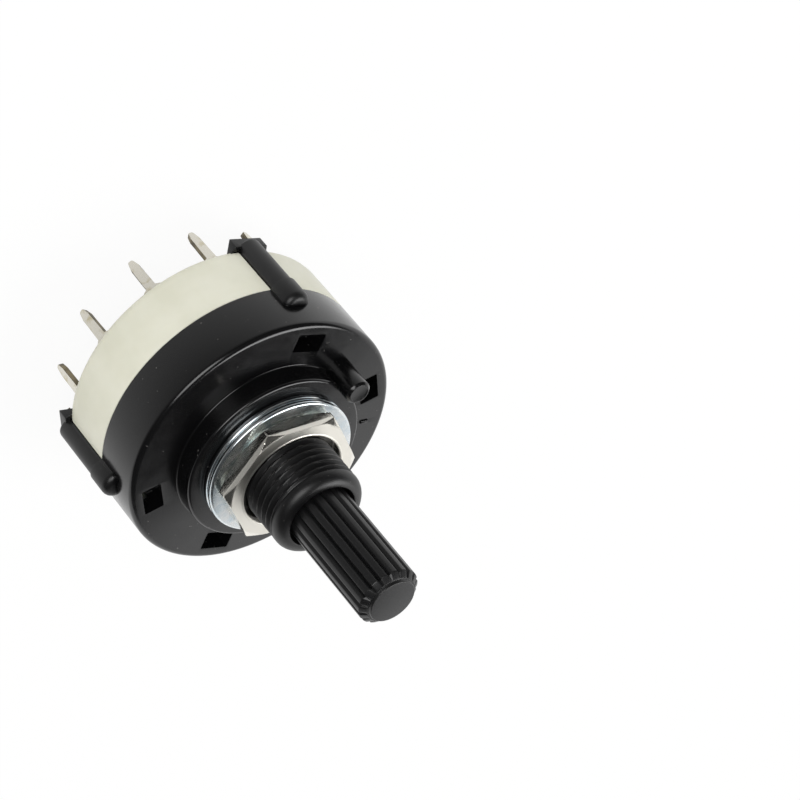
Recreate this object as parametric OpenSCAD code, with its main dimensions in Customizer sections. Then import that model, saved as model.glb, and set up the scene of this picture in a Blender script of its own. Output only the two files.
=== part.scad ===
// Rotary selector switch, three poles and four throws, 6 mm splined plastic shaft.
// A 26 mm class panel and board mounted switch: a black moulded housing with a
// threaded bushing, snapped by four arms onto a cream terminal base.
// Millimetres, +Z along the shaft, z = 0 at the tips of the terminals.
// Angles run counter-clockwise seen from the shaft end; terminal 1 is at 0 degrees.

/* [View] */
// which sub-part to show
// how far the shaft is turned from its first position, degrees
shaft_turn = 0; // [0:30:90]

/* [Body] */
// outside diameter of the housing and of the base
body_d = 26.8; // [24:0.1:32]
// front face of the housing to rear face of the base
body_depth = 11.4; // [10.8:0.1:16]
// front face of the housing to the seam with the base
housing_depth = 5.2; // [5:0.1:8]
// thickness of the housing's front plate
plate_t = 1.6; // [1.4:0.1:2.4]
// thickness of the drum wall of the housing
wall_t = 1.25; // [1:0.05:1.6]
// thickness of the inner wall that carries the detent track
track_wall = 1.45; // [1.2:0.05:1.8]
// width of the groove for the lip of the base
lip_groove = 1.1; // [0.9:0.05:1.4]
// height of the lip of the base above the seam
lip_h = 1.7; // [1:0.1:2.5]
// thickness of the floor of the base
floor_t = 1.8; // [1.5:0.1:2.4]
// radius on the front rim of the housing
front_round = 0.5; // [0.2:0.1:1]
// radius on the rear rim of the base
rear_round = 1; // [0.5:0.1:1.2]

/* [Boss and bushing] */
// diameter of the raised boss under the washers
boss_d = 17.6; // [16:0.1:18.4]
// height of the boss above the front face
boss_h = 2.1; // [1:0.1:3]
// outside diameter of the bushing, over the thread
bushing_d = 9; // [8.6:0.1:10]
// length of the bushing above the boss
bushing_len = 7.3; // [6:0.1:12]
// radius on the end of the bushing
bushing_round = 0.6; // [0.2:0.1:0.7]
// pitch of the thread on the bushing
thread_pitch = 0.75; // [0.5:0.05:1]
// diameter of the relief round the shaft in the bushing's end
relief_d = 7.2; // [6.8:0.1:7.6]
// depth of that relief
relief_depth = 1.6; // [0.5:0.1:3]
// diameter of the locating peg
peg_d = 2.4; // [2:0.1:3]
// height of the locating peg above the front face
peg_h = 3.65; // [3:0.05:6]
// chamfer on the end of the locating peg
peg_chamfer = 0.4; // [0.1:0.05:0.5]
// distance of the locating peg from the shaft axis
peg_r = 9.5; // [9:0.1:10.5]
// direction of the locating peg, degrees
peg_angle = 45; // [40:1:50]

/* [Snap arms] */
// directions of the four arms, degrees
arm_angles = [13, 77, 193, 257];
// width of an arm where it runs over the base
arm_w = 2.5; // [2:0.1:2.8]
// how far an arm stands out of the base wall
arm_out = 1.05; // [0.7:0.05:1.4]
// how much thicker and wider the rib on the housing is than the arm
arm_step = 0.15; // [0:0.05:0.3]
// distance of the rib's flat end from the front face
rib_start = 2.6; // [1.5:0.1:3.5]
// radius of the edge round that end
rib_round = 0.6; // [0.3:0.05:0.8]
// radius of the edge round the rear end of an arm
arm_round = 0.3; // [0.1:0.05:0.5]
// width of the hook at its outer edge
hook_w = 3.5; // [2.8:0.1:3.6]
// how much further the hook spreads to each side at its tip
hook_flare = 0.4; // [0:0.05:0.5]
// depth of the seat in the rear rim of the base, in which the hook lies
seat_depth = 0.65; // [0.4:0.05:0.8]
// directions of the four square openings in the front plate, degrees
window_angles = [15, 75, 195, 255];
// width of an opening across its direction
window_w = 3; // [2:0.1:3.2]
// size of an opening along its direction
window_h = 1.9; // [1.2:0.1:2]
// distance of an opening's middle from the side of the housing
window_inset = 2.15; // [1.9:0.05:2.4]

/* [Shaft and rotor] */
// diameter over the splines
shaft_d = 6; // [5.8:0.1:6.2]
// front face of the housing to the tip of the shaft
shaft_reach = 21.5; // [18:0.5:60]
// number of splines
spline_count = 18; // [18:1:24]
// depth of the grooves between the splines
spline_depth = 0.32; // [0.2:0.02:0.4]
// how far the splines run below the end of the bushing
spline_inset = 1.2; // [0:0.1:1.5]
// length of the chamfer at the tip of the shaft
tip_chamfer = 0.75; // [0.3:0.05:1]
// diameter of the flat end of the shaft
tip_d = 4.5; // [4:0.1:5]
// diameter of the smooth journal that runs in the bushing
journal_d = 6.2; // [6.2:0.1:6.4]
// thickness of the rotor disc
rotor_t = 4.6; // [4.4:0.1:5]
// height of the balls' bore above the rear face of the rotor disc
bore_up = 1.9; // [1.7:0.05:2.4]
// diameter of the rear pivot of the rotor
pivot_d = 3.8; // [3:0.1:4.4]
// distance of the stop groove from the shaft axis
tab_r = 6.2; // [6:0.1:6.4]
// width of the stop groove
groove_w = 1.2; // [1:0.05:1.4]
// depth of the stop groove
groove_depth = 0.85; // [0.6:0.05:1.2]
// angle between two stops of the shaft, degrees
turn_range = 90; // [30:30:90]

/* [Detent] */
// diameter of the two detent balls
ball_d = 3; // [2.4:0.1:3]
// outside diameter of the spring between the balls
spring_d = 2.7; // [2:0.1:2.8]
// wire of the spring
spring_wire = 0.35; // [0.25:0.05:0.5]
// number of turns of the spring
spring_turns = 10; // [8:1:14]
// depth of the twelve detent scallops in the housing
scallop_depth = 0.3; // [0.2:0.05:0.4]
// radius of the detent scallops
scallop_r = 3; // [2:0.1:4]

/* [Terminals] */
// distance of the twelve outer terminals from the side of the base
pin_inset = 1.6; // [1.5:0.05:1.7]
// distance of the three common terminals from the shaft axis
common_r = 3.95; // [3.8:0.05:4.2]
// length of a terminal behind the base
pin_len = 4.6; // [3.5:0.1:8]
// width of a terminal's pin
pin_w = 0.9; // [0.7:0.1:1.3]
// width of a terminal at the base
root_w = 3; // [2.4:0.1:3]
// width of the web between the two ears of a terminal
web_w = 1.85; // [1.6:0.05:1.9]
// length of that web behind the base
web_len = 0.6; // [0.4:0.1:1.2]
// width of an ear, which locks the terminal in the base
ear_w = 0.5; // [0.35:0.05:0.5]
// length of an ear
ear_len = 0.75; // [0.5:0.05:0.9]
// how far the ears lean outward, degrees
ear_lean = 20; // [0:1:22]
// how far the ears are twisted, degrees
ear_turn = 30; // [0:5:35]
// thickness of the terminal strip
strip_t = 0.5; // [0.4:0.05:0.6]
// thickness of the contact tongues inside the base
tongue_t = 0.4; // [0.3:0.05:0.5]
// length of a contact tongue
tongue_len = 3.1; // [2.9:0.1:3.3]
// outer radius of the common terminals' pads
pad_r = 5.6; // [5.4:0.1:5.8]
// width of a tongue and of a wiper
wiper_w = 2.4; // [2:0.1:2.6]
// thickness of a wiper
wiper_t = 0.3; // [0.2:0.05:0.35]

/* [Nut and washers] */
// diameter of the stop ring and of the washer
ring_d = 14.6; // [13:0.1:16]
// thickness of the stop ring
ring_t = 0.65; // [0.5:0.05:1]
// thickness of the washer
washer_t = 0.6; // [0.4:0.05:1]
// width of the bent tab of the stop ring
tab_w = 1.6; // [1.2:0.1:1.8]
// thickness of that tab
tab_t = 0.7; // [0.5:0.05:0.8]
// width across the flats of the nut
nut_flats = 12; // [11:0.5:14]
// thickness of the nut
nut_t = 1.8; // [1.5:0.1:3]
// turn of the nut about the bushing, degrees
nut_angle = -0.5; // [-30:0.5:30]

/* [Clearances] */
// radial running clearance of the shaft in the bushing and at the rear pivot
run_gap = 0.05; // [0.02:0.01:0.08]
// clearance between parts that are only put together
fit_gap = 0.08; // [0.05:0.01:0.12]
// gap between a sliding contact and its pad
touch_gap = 0.03; // [0.02:0.01:0.06]
// clearance round the turning rotor disc
turn_gap = 0.3; // [0.2:0.05:0.4]
// clearance between the rotor disc and the front plate
face_gap = 0.2; // [0.1:0.05:0.3]

/* [Hidden] */
$fn = 96;
eps = 0.01;
rear_z = pin_len;
face_z = rear_z + body_depth;
seam_z = face_z - housing_depth;
floor_z = rear_z + floor_t;
plate_z = face_z - plate_t;
boss_z = face_z + boss_h;
bushing_z = boss_z + bushing_len;
tip_z = face_z + shaft_reach;
body_r = body_d / 2;
arm_r = body_r + arm_out - arm_w / 2;
channel_r = body_r - 0.58;
hook_out = body_r + 0.45;
moat_out = body_r - wall_t;
moat_in = moat_out - lip_groove;
lip_out = moat_out - fit_gap;
lip_in = moat_in + fit_gap;
crest_r = moat_in - track_wall;
rotor_r = crest_r - turn_gap;
rotor_top = plate_z - face_gap;
rotor_low = rotor_top - rotor_t;
bore_z = rotor_low + bore_up;
ball_r = crest_r - run_gap - ball_d / 2;
coil_r = (spring_d - spring_wire) / 2;
seat_r = ball_d / 2 + spring_wire / 2 + touch_gap;
coil_len = 2 * (ball_r - sqrt(seat_r * seat_r - coil_r * coil_r));
pivot_top = rotor_low - 1.1;
groove_z = rotor_top - groove_depth;
tab_end = groove_z + 0.2;
window_r = body_r - window_inset;
pin_r = body_r - pin_inset;
hook_tip = pin_r + strip_t + 0.2;
tongue_top = floor_z + tongue_t;
tongue_in = pin_r - tongue_len;
wiper_low = tongue_top + touch_gap;
wiper_top = rotor_low - 0.05;
foot_in = common_r + 0.65;
foot_out = tongue_in + 0.9;
foot_span = foot_out - foot_in;
post_r = (foot_in + foot_out) / 2 - 0.2;
ring_z = boss_z;
washer_z = ring_z + ring_t;
nut_z = washer_z + washer_t;
pitch_r = bushing_d / 2 - 0.3248 * thread_pitch;
thread_z = nut_z + nut_t + 0.1;
black = [0.13, 0.13, 0.14];
cream = [0.87, 0.87, 0.81];
brass = [0.84, 0.82, 0.74];
zinc = [0.80, 0.84, 0.86];
nickel = [0.82, 0.80, 0.75];
steel = [0.70, 0.71, 0.73];

// Solid of revolution with the rim at its top rounded
module rounded_top(r, z0, z1, round) {
    rotate_extrude()
        union() {
            translate([0, z0]) square([r - round, z1 - z0]);
            translate([0, z0]) square([r, z1 - z0 - round]);
            translate([r - round, z1 - round])
                intersection() {
                    circle(round);
                    square([round + eps, round + eps]);
                }
        }
}

// Solid of revolution with the rim at its foot rounded
module rounded_foot(r, z0, z1, round) {
    translate([0, 0, z0 + z1])
        mirror([0, 0, 1])
            rounded_top(r, z0, z1, round);
}

// Ring between two radii
module tube(r_in, r_out, z0, z1) {
    translate([0, 0, z0])
        difference() {
            cylinder(r = r_out, h = z1 - z0);
            translate([0, 0, -1]) cylinder(r = r_in, h = z1 - z0 + 2);
        }
}

// Ring sector from angle a0 to a1
module sector(r_in, r_out, z0, z1, a0, a1) {
    translate([0, 0, z0])
        rotate([0, 0, a0])
            rotate_extrude(angle = a1 - a0)
                translate([r_in, 0]) square([r_out - r_in, z1 - z0]);
}

// Block that lies along a direction, centred across it
module radial_block(a, r0, r1, w, z0, z1) {
    rotate([0, 0, a])
        translate([r0, -w / 2, z0])
            cube([r1 - r0, w, z1 - z0]);
}

// Half-round rib on the drum, flat at its front end with a rounded edge
module arm_rib(a) {
    rotate([0, 0, a])
        translate([arm_r, 0, 0])
            rounded_top(arm_w / 2 + arm_step, seam_z, face_z - rib_start, rib_round);
}

// Outline of a hook seen along the shaft, wider towards its tip
module hook_plan(tip, reach, grow) {
    near = hook_w / 2 + hook_flare + grow;
    far = near - hook_flare * (reach - tip) / (hook_out - hook_tip);
    polygon([[tip, near], [tip, -near], [reach, -far], [reach, far]]);
}

// Wedge hook behind an arm: catch face in the seat of the base, sloped rear face
module snap_hook() {
    catch_z = rear_z + seat_depth - fit_gap;
    half = hook_w / 2 + hook_flare + 1;
    intersection() {
        translate([0, 0, rear_z - 1])
            linear_extrude(seat_depth + 2)
                hook_plan(hook_tip, hook_out, 0);
        translate([0, half, 0])
            rotate([90, 0, 0])
                linear_extrude(2 * half)
                    polygon([
                        [hook_tip - 1, catch_z], [hook_tip - 1, rear_z + 0.28],
                        [hook_tip, rear_z + 0.28], [hook_out, rear_z - 0.65],
                        [hook_out + 1, rear_z - 0.65], [hook_out + 1, catch_z]
                    ]);
    }
}

// Arm over the base, flat at its rear end, with the hook behind it
module snap_arm(a) {
    r = arm_w / 2;
    in_r = channel_r + fit_gap;
    rotate([0, 0, a]) {
        intersection() {
            translate([arm_r, 0, 0])
                rounded_foot(r, rear_z + 0.1, seam_z + 0.5, arm_round);
            translate([in_r, -r - 1, 0]) cube([r + 3, 2 * r + 2, face_z]);
        }
        snap_hook();
    }
}

// Peg that keys the switch in its panel: drafted foot beside the boss, chamfered top
module locating_peg() {
    foot_h = boss_h + 0.1;
    rotate([0, 0, peg_angle])
        translate([peg_r, 0, face_z])
            rotate_extrude()
                polygon([
                    [0, -0.5], [peg_d / 2 + 0.08, -0.5], [peg_d / 2, foot_h],
                    [peg_d / 2, peg_h - peg_chamfer], [peg_d / 2 - peg_chamfer, peg_h],
                    [0, peg_h]
                ]);
}

// Short raised mark on the front face, beside the rim
module rim_mark() {
    radial_block(354.5, body_r - 2.6, body_r - 1.8, 0.35, face_z - 0.5, face_z + 0.15);
}

// Inside of the housing: detent track, slot for the lip of the base, stop slots
module housing_hollow() {
    translate([0, 0, seam_z - 1])
        linear_extrude(plate_z - seam_z + 1)
            union() {
                circle(crest_r);
                for (i = [0 : 11])
                    rotate(30 * i)
                        translate([crest_r + scallop_depth - scallop_r, 0])
                            circle(scallop_r);
            }
    tube(moat_in, moat_out, seam_z - 1, plate_z);
    for (i = [0 : 11])
        radial_block(30 * i + 15, tab_r - tab_t / 2 - 0.1, tab_r + tab_t / 2 + 0.1,
                     tab_w + 0.2, plate_z - 1, boss_z + 1);
    for (a = window_angles)
        radial_block(a, window_r - window_h / 2, window_r + window_h / 2, window_w,
                     plate_z - 1, face_z + 1);
}

// Black housing, moulded in one piece with boss, bushing, peg and snap arms.
// The thread is a plain cylinder: outside diameter where it is free, pitch diameter
// inside the nut, where the crests of one lie in the grooves of the other.
module front_housing() {
    color(black)
        difference() {
            union() {
                rounded_top(body_r, seam_z, face_z, front_round);
                rounded_top(boss_d / 2, face_z - 0.5, boss_z, 0.2);
                translate([0, 0, boss_z - 0.5])
                    cylinder(r = pitch_r, h = thread_z - boss_z + 1);
                rounded_top(bushing_d / 2, thread_z, bushing_z, bushing_round);
                locating_peg();
                rim_mark();
                for (a = arm_angles) {
                    arm_rib(a);
                    snap_arm(a);
                }
            }
            translate([0, 0, plate_z - 1])
                cylinder(d = journal_d + 2 * run_gap, h = bushing_z - plate_z + 2);
            translate([0, 0, bushing_z - relief_depth])
                cylinder(d = relief_d, h = relief_depth + 1);
            housing_hollow();
        }
}

// Inside of the base: a round room with a pocket for each outer terminal
module base_hollow() {
    pocket_r = pin_r + strip_t / 2 + 0.1;
    pocket_w = root_w + 0.1;
    difference() {
        translate([0, 0, floor_z])
            linear_extrude(body_depth)
                union() {
                    circle(lip_in);
                    for (i = [0 : 11])
                        rotate(30 * i)
                            translate([lip_in - 1, -pocket_w / 2])
                                square([pocket_r - lip_in + 1, pocket_w]);
                }
        translate([0, 0, floor_z - 1])
            cylinder(d = pivot_d + 2, h = pivot_top - 0.1 - floor_z + 1);
    }
}

// Opening through the floor of the base for the strip of a terminal
module strip_slot(a, r) {
    radial_block(a, r - strip_t / 2 - 0.05, r + strip_t / 2 + 0.05, root_w + 0.1,
                 rear_z - 1, floor_z + 1);
}

// Cream base, moulded in one piece with the rear pivot and the lip
module base() {
    color(cream)
        difference() {
            union() {
                rounded_foot(body_r, rear_z, seam_z, rear_round);
                translate([0, 0, seam_z - 0.5])
                    cylinder(r = lip_out, h = lip_h + 0.5);
            }
            base_hollow();
            translate([0, 0, rear_z + 0.7])
                cylinder(d = pivot_d + 2 * run_gap, h = body_depth);
            for (i = [0 : 11])
                strip_slot(30 * i, pin_r);
            for (a = [45, 165, 285])
                strip_slot(a, common_r);
            for (a = arm_angles) {
                radial_block(a, channel_r, body_r + 1, arm_w + 0.2, rear_z - 1, seam_z + 0.01);
                rotate([0, 0, a])
                    translate([0, 0, rear_z - 1])
                        linear_extrude(seat_depth + 1)
                            hook_plan(hook_tip - fit_gap, body_r + 1, fit_gap);
            }
        }
}

// One groove between two splines of the shaft
module spline_groove(z0, z1) {
    r = shaft_d / 2;
    translate([0, 0, z0])
        linear_extrude(z1 - z0)
            polygon([[r - spline_depth, -0.05], [r - spline_depth, 0.05],
                     [r + 0.2, 0.42], [r + 0.2, -0.42]]);
}

// Post under the rotor that carries one wiper, with its spread head
module wiper_post() {
    translate([post_r, 0, wiper_top - wiper_t - 0.4])
        cylinder(r = 0.5, h = wiper_t + 0.6);
    translate([post_r, 0, wiper_top - wiper_t - 0.4])
        cylinder(r = 0.75, h = 0.35);
}

// Black shaft and rotor, moulded in one piece
module rotor_shaft() {
    spline_z = bushing_z - spline_inset;
    color(black)
        rotate([0, 0, shaft_turn])
            difference() {
                union() {
                    translate([0, 0, rotor_low])
                        cylinder(r = rotor_r, h = rotor_t);
                    translate([0, 0, rotor_low - 1.0])
                        cylinder(d = pivot_d + 1.8, h = 1.5);
                    translate([0, 0, rear_z + 0.9])
                        cylinder(d = pivot_d, h = rotor_low - rear_z);
                    translate([0, 0, rotor_top - 0.5])
                        cylinder(d = journal_d, h = spline_z - rotor_top + 0.5);
                    translate([0, 0, spline_z])
                        cylinder(d = shaft_d, h = tip_z - tip_chamfer - spline_z);
                    translate([0, 0, tip_z - tip_chamfer])
                        cylinder(d1 = shaft_d, d2 = tip_d, h = tip_chamfer);
                    for (a = [0, 120, 240])
                        rotate([0, 0, a]) wiper_post();
                }
                for (i = [0 : spline_count - 1])
                    rotate([0, 0, i * 360 / spline_count])
                        spline_groove(spline_z + 0.3, tip_z + 1);
                translate([-rotor_r - 1, 0, bore_z])
                    rotate([0, 90, 0])
                        cylinder(d = ball_d + 2 * run_gap, h = 2 * rotor_r + 2);
                sector(tab_r - groove_w / 2, tab_r + groove_w / 2, groove_z, rotor_top + 1,
                       135 - turn_range - 9, 135 + 9);
            }
}

// Place along the axis of the spring's wire after t turns; the end turns are closed
function coil_x(t) =
    let (closed = spring_wire + 0.05, open = (coil_len - 2 * closed) / (spring_turns - 2))
    (t < 1) ? closed * t :
    (t > spring_turns - 1) ? coil_len - closed * (spring_turns - t) :
    closed + open * (t - 1);

// Compression spring between the balls, a six-sided wire swept along its coil
module detent_spring() {
    sides = 6;
    steps = 14;
    rings = spring_turns * steps;
    wire_r = spring_wire / 2;
    points = [
        for (i = [0 : rings], j = [0 : sides - 1])
            let (a = 360 * i / steps, b = 360 * j / sides, r = coil_r + wire_r * cos(b))
            [coil_x(i / steps) - coil_len / 2 + wire_r * sin(b), r * cos(a), r * sin(a)]
    ];
    faces = concat(
        [[for (j = [0 : sides - 1]) sides - 1 - j]],
        [[for (j = [0 : sides - 1]) rings * sides + j]],
        [for (i = [0 : rings - 1], j = [0 : sides - 1])
            let (k = (j + 1) % sides)
            [i * sides + j, i * sides + k, (i + 1) * sides + k]],
        [for (i = [0 : rings - 1], j = [0 : sides - 1])
            let (k = (j + 1) % sides)
            [i * sides + j, (i + 1) * sides + k, (i + 1) * sides + j]]
    );
    color(steel)
        rotate([0, 0, shaft_turn])
            translate([0, 0, bore_z])
                polyhedron(points = points, faces = faces);
}

// Steel ball in the cross bore of the rotor
module detent_ball(side) {
    color(steel)
        rotate([0, 0, shaft_turn])
            translate([side * ball_r, 0, bore_z])
                sphere(d = ball_d);
}

// Side profile of a wiper: plate under the rotor, two sprung legs and their feet
module wiper_profile() {
    lift = wiper_top - wiper_t;
    foot = wiper_low + wiper_t;
    rise = foot_in + 0.26 * foot_span;
    fall = foot_out - 0.32 * foot_span;
    polygon([
        [foot_in - 0.3, wiper_low], [foot_in + 0.3, wiper_low],
        [foot_in + 0.12 * foot_span, foot], [rise, lift],
        [fall, lift], [foot_out - 0.12 * foot_span, foot],
        [foot_out - 0.3, wiper_low], [foot_out + 0.3, wiper_low],
        [foot_out + 0.5, foot], [foot_out - 0.1, foot],
        [fall + 0.3, wiper_top], [rise - 0.3, wiper_top],
        [foot_in + 0.15, foot], [foot_in - 0.5, foot]
    ]);
}

// Sprung bridge between a common pad and the tongue of a terminal,
// narrow at its inner foot and split into two fingers at its outer one
module wiper(a) {
    w = wiper_w / 2;
    color(brass)
        rotate([0, 0, a + shaft_turn])
            difference() {
                intersection() {
                    translate([0, w, 0])
                        rotate([90, 0, 0])
                            linear_extrude(wiper_w) wiper_profile();
                    translate([0, 0, floor_z])
                        linear_extrude(rotor_low - floor_z)
                            polygon([
                                [foot_in - 0.6, -w / 2], [foot_in + 0.3, -0.58 * w],
                                [foot_in + 0.28 * foot_span, -w], [foot_out - 0.2, -w],
                                [foot_out + 0.6, -0.67 * w], [foot_out + 0.6, 0.67 * w],
                                [foot_out - 0.2, w], [foot_in + 0.28 * foot_span, w],
                                [foot_in + 0.3, 0.58 * w], [foot_in - 0.6, w / 2]
                            ]);
                }
                translate([post_r, 0, 0])
                    cylinder(r = 0.55, h = rotor_low);
                translate([foot_out - 1.4, -0.15, 0])
                    cube([3, 0.3, rotor_low]);
            }
}

// Terminal behind the base: a web between two slit ears, then the narrow pin
module pin_blade(r) {
    slit_z = rear_z - 0.15;
    web_z = rear_z - web_len;
    translate([r - strip_t / 2, 0, 0])
        rotate([90, 0, 90])
            linear_extrude(strip_t)
                polygon([
                    [-root_w / 2, rear_z + eps], [-root_w / 2, slit_z],
                    [-web_w / 2, slit_z], [-web_w / 2, web_z],
                    [-pin_w / 2, web_z - 0.25], [-pin_w / 2, 0.9],
                    [-0.32 * pin_w, 0.15], [-0.2 * pin_w, 0],
                    [0.2 * pin_w, 0], [0.32 * pin_w, 0.15],
                    [pin_w / 2, 0.9], [pin_w / 2, web_z - 0.25],
                    [web_w / 2, web_z], [web_w / 2, slit_z],
                    [root_w / 2, slit_z], [root_w / 2, rear_z + eps]
                ]);
    for (side = [-1, 1])
        translate([r, side * (root_w - ear_w) / 2, rear_z - 0.1])
            rotate([side * ear_lean, 0, 0])
                rotate([0, 0, side * ear_turn])
                    translate([-0.45 * strip_t, -ear_w / 2, -ear_len])
                        cube([0.9 * strip_t, ear_w, ear_len]);
}

// Outer terminal: pin, strip through the floor and tongue on the floor
module outer_terminal(n) {
    color(brass)
        rotate([0, 0, 30 * (n - 1)])
            union() {
                pin_blade(pin_r);
                translate([pin_r - strip_t / 2, -root_w / 2, rear_z])
                    cube([strip_t, root_w, floor_t + tongue_t]);
                translate([tongue_in, -wiper_w / 2, floor_z])
                    cube([pin_r - tongue_in, wiper_w, tongue_t]);
            }
}

// Common terminal: pin, strip through the floor and arc pad on the floor
module common_terminal(a) {
    color(brass)
        union() {
            rotate([0, 0, a]) {
                pin_blade(common_r);
                translate([common_r - strip_t / 2, -root_w / 2, rear_z])
                    cube([strip_t, root_w, floor_t + tongue_t / 2]);
            }
            sector(common_r - strip_t / 2 - 0.1, pad_r, floor_z, tongue_top, a - 54, a + 54);
        }
}

// Zinc plated ring with the bent tab that sets the travel
module stop_ring() {
    color(zinc)
        union() {
            rim_ring(ring_z, ring_t);
            radial_block(135, tab_r - tab_t / 2, tab_r + tab_t / 2, tab_w, tab_end, ring_z + 0.1);
        }
}

// Flat ring on the bushing with rounded edges
module rim_ring(z, t) {
    round = t * 0.4;
    rotate_extrude()
        union() {
            translate([bushing_d / 2 + fit_gap, z])
                square([(ring_d - bushing_d) / 2 - fit_gap - round, t]);
            translate([bushing_d / 2 + fit_gap, z + round])
                square([(ring_d - bushing_d) / 2 - fit_gap, t - 2 * round]);
            translate([ring_d / 2 - round, z + round]) circle(round);
            translate([ring_d / 2 - round, z + t - round]) circle(round);
        }
}

// Plain washer under the nut
module washer() {
    color(zinc) rim_ring(washer_z, washer_t);
}

// Thin hex nut, chamfered on both faces
module hex_nut() {
    corner_r = nut_flats / 2 / cos(30);
    face_r = nut_flats / 2 - 0.1;
    out_r = corner_r + 0.2;
    drop = (out_r - face_r) * tan(30);
    color(nickel)
        difference() {
            intersection() {
                translate([0, 0, nut_z])
                    rotate([0, 0, nut_angle]) cylinder(r = corner_r, h = nut_t, $fn = 6);
                rotate_extrude()
                    polygon([
                        [0, nut_z], [face_r, nut_z], [out_r, nut_z + drop],
                        [out_r, nut_z + nut_t - drop], [face_r, nut_z + nut_t],
                        [0, nut_z + nut_t]
                    ]);
            }
            translate([0, 0, nut_z - 1])
                cylinder(r = pitch_r + run_gap, h = nut_t + 2);
            translate([0, 0, nut_z + nut_t - 0.5])
                cylinder(r1 = pitch_r + run_gap, r2 = bushing_d / 2 + 0.45, h = 0.51);
        }
}

front_housing();
base();
rotor_shaft();
detent_spring();
detent_ball(1);  // detent_ball_1
detent_ball(-1);  // detent_ball_2
wiper(0);  // wiper_a
wiper(120);  // wiper_b
wiper(240);  // wiper_c
outer_terminal(1);  // terminal_1
outer_terminal(2);  // terminal_2
outer_terminal(3);  // terminal_3
outer_terminal(4);  // terminal_4
outer_terminal(5);  // terminal_5
outer_terminal(6);  // terminal_6
outer_terminal(7);  // terminal_7
outer_terminal(8);  // terminal_8
outer_terminal(9);  // terminal_9
outer_terminal(10);  // terminal_10
outer_terminal(11);  // terminal_11
outer_terminal(12);  // terminal_12
common_terminal(45);  // common_terminal_a
common_terminal(165);  // common_terminal_b
common_terminal(285);  // common_terminal_c
stop_ring();
washer();
hex_nut();
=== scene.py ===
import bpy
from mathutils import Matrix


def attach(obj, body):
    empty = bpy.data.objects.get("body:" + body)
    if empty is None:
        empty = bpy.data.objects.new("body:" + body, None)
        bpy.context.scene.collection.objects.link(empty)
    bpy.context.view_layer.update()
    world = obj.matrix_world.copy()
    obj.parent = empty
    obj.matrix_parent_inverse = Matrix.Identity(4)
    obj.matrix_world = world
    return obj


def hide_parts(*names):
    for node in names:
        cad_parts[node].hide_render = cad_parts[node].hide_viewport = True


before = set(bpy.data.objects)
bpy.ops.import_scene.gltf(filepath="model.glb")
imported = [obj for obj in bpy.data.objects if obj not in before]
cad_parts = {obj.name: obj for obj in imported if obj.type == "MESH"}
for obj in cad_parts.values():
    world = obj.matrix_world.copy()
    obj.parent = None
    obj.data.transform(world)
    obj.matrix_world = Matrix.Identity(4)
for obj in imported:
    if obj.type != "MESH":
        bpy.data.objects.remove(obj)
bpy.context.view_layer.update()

import math

import bmesh
import bpy
from mathutils import Matrix, Vector

# THE BASE
# A round tray moulded in cream PBT that closes the switch from behind. Its lip slips into
# a groove of the housing, twelve pockets hold the outer terminals, and four channels take
# the snap arms, each with a shallow seat for its hook in the rear rim.
mm = 0.001  # sizes are in mm, radii from the shaft's axis and heights from the pins' tips
body_r, rear_z, seam_z, floor_z = 13.4, 4.6, 10.8, 6.4
lip_in, lip_out, lip_top = 11.13, 12.07, 12.5
hub_r, hub_top, socket_r, socket_z = 2.9, 8.4, 1.95, 5.3
pocket_in, pocket_out, slot_half, pocket_gap = 10.13, 12.15, 0.3, 0.05
pin_r, common_r, strip_t, root_w = 11.8, 3.95, 0.5, 3.0
arm_first, arm_second, arm_w, channel_r, channel_gap = 13, 77, 2.5, 12.82, 0.1
hook_tip, hook_out, hook_w, hook_flare, seat_depth = 12.5, 13.85, 3.5, 0.4, 0.65
hook_half, hook_middle, hook_slope, seat_gap = hook_w / 2 + hook_flare, 5.0, 0.93, 0.08


def rounded(corners, steps=5):
    """The points of a profile in mm. Each corner is (radius, height, rounding)."""
    points = []
    for i, (x, z, size) in enumerate(corners):
        here = Vector((x, z))
        if size == 0 or i in (0, len(corners) - 1):
            points.append((x, z))
            continue
        back = (Vector(corners[i - 1][:2]) - here).normalized()
        on = (Vector(corners[i + 1][:2]) - here).normalized()
        half = back.angle(on) / 2
        centre = here + (back + on).normalized() * (size / math.sin(half))
        start = here + back * (size / math.tan(half)) - centre
        end = here + on * (size / math.tan(half)) - centre
        sweep = start.angle_signed(end)
        for k in range(steps + 1):
            a = -sweep * k / steps
            turned_to = Vector((start.x * math.cos(a) - start.y * math.sin(a),
                                start.x * math.sin(a) + start.y * math.cos(a)))
            points.append(tuple(centre + turned_to))
    return points


def new_object(name, mesh):
    """An object that takes over a finished bmesh, its faces pointing outwards."""
    bmesh.ops.recalc_face_normals(mesh, faces=mesh.faces)
    data = bpy.data.meshes.new(name)
    mesh.to_mesh(data)
    mesh.free()
    made = bpy.data.objects.new(name, data)
    bpy.context.scene.collection.objects.link(made)
    return made


def skin_over(mesh, rings, closed=False):
    """Joins rings of points, each one vertex or equally many, with faces."""
    pairs = list(zip(rings, rings[1:])) + ([(rings[-1], rings[0])] if closed else [])
    for low, high in pairs:
        count = max(len(low), len(high))
        for j in range(count):
            k = (j + 1) % count
            corners = [low[j % len(low)], low[k % len(low)],
                       high[k % len(high)], high[j % len(high)]]
            mesh.faces.new(list(dict.fromkeys(corners)))
    if not closed:
        for ring in (rings[0], rings[-1]):
            if len(ring) > 1:
                mesh.faces.new(ring)


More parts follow.
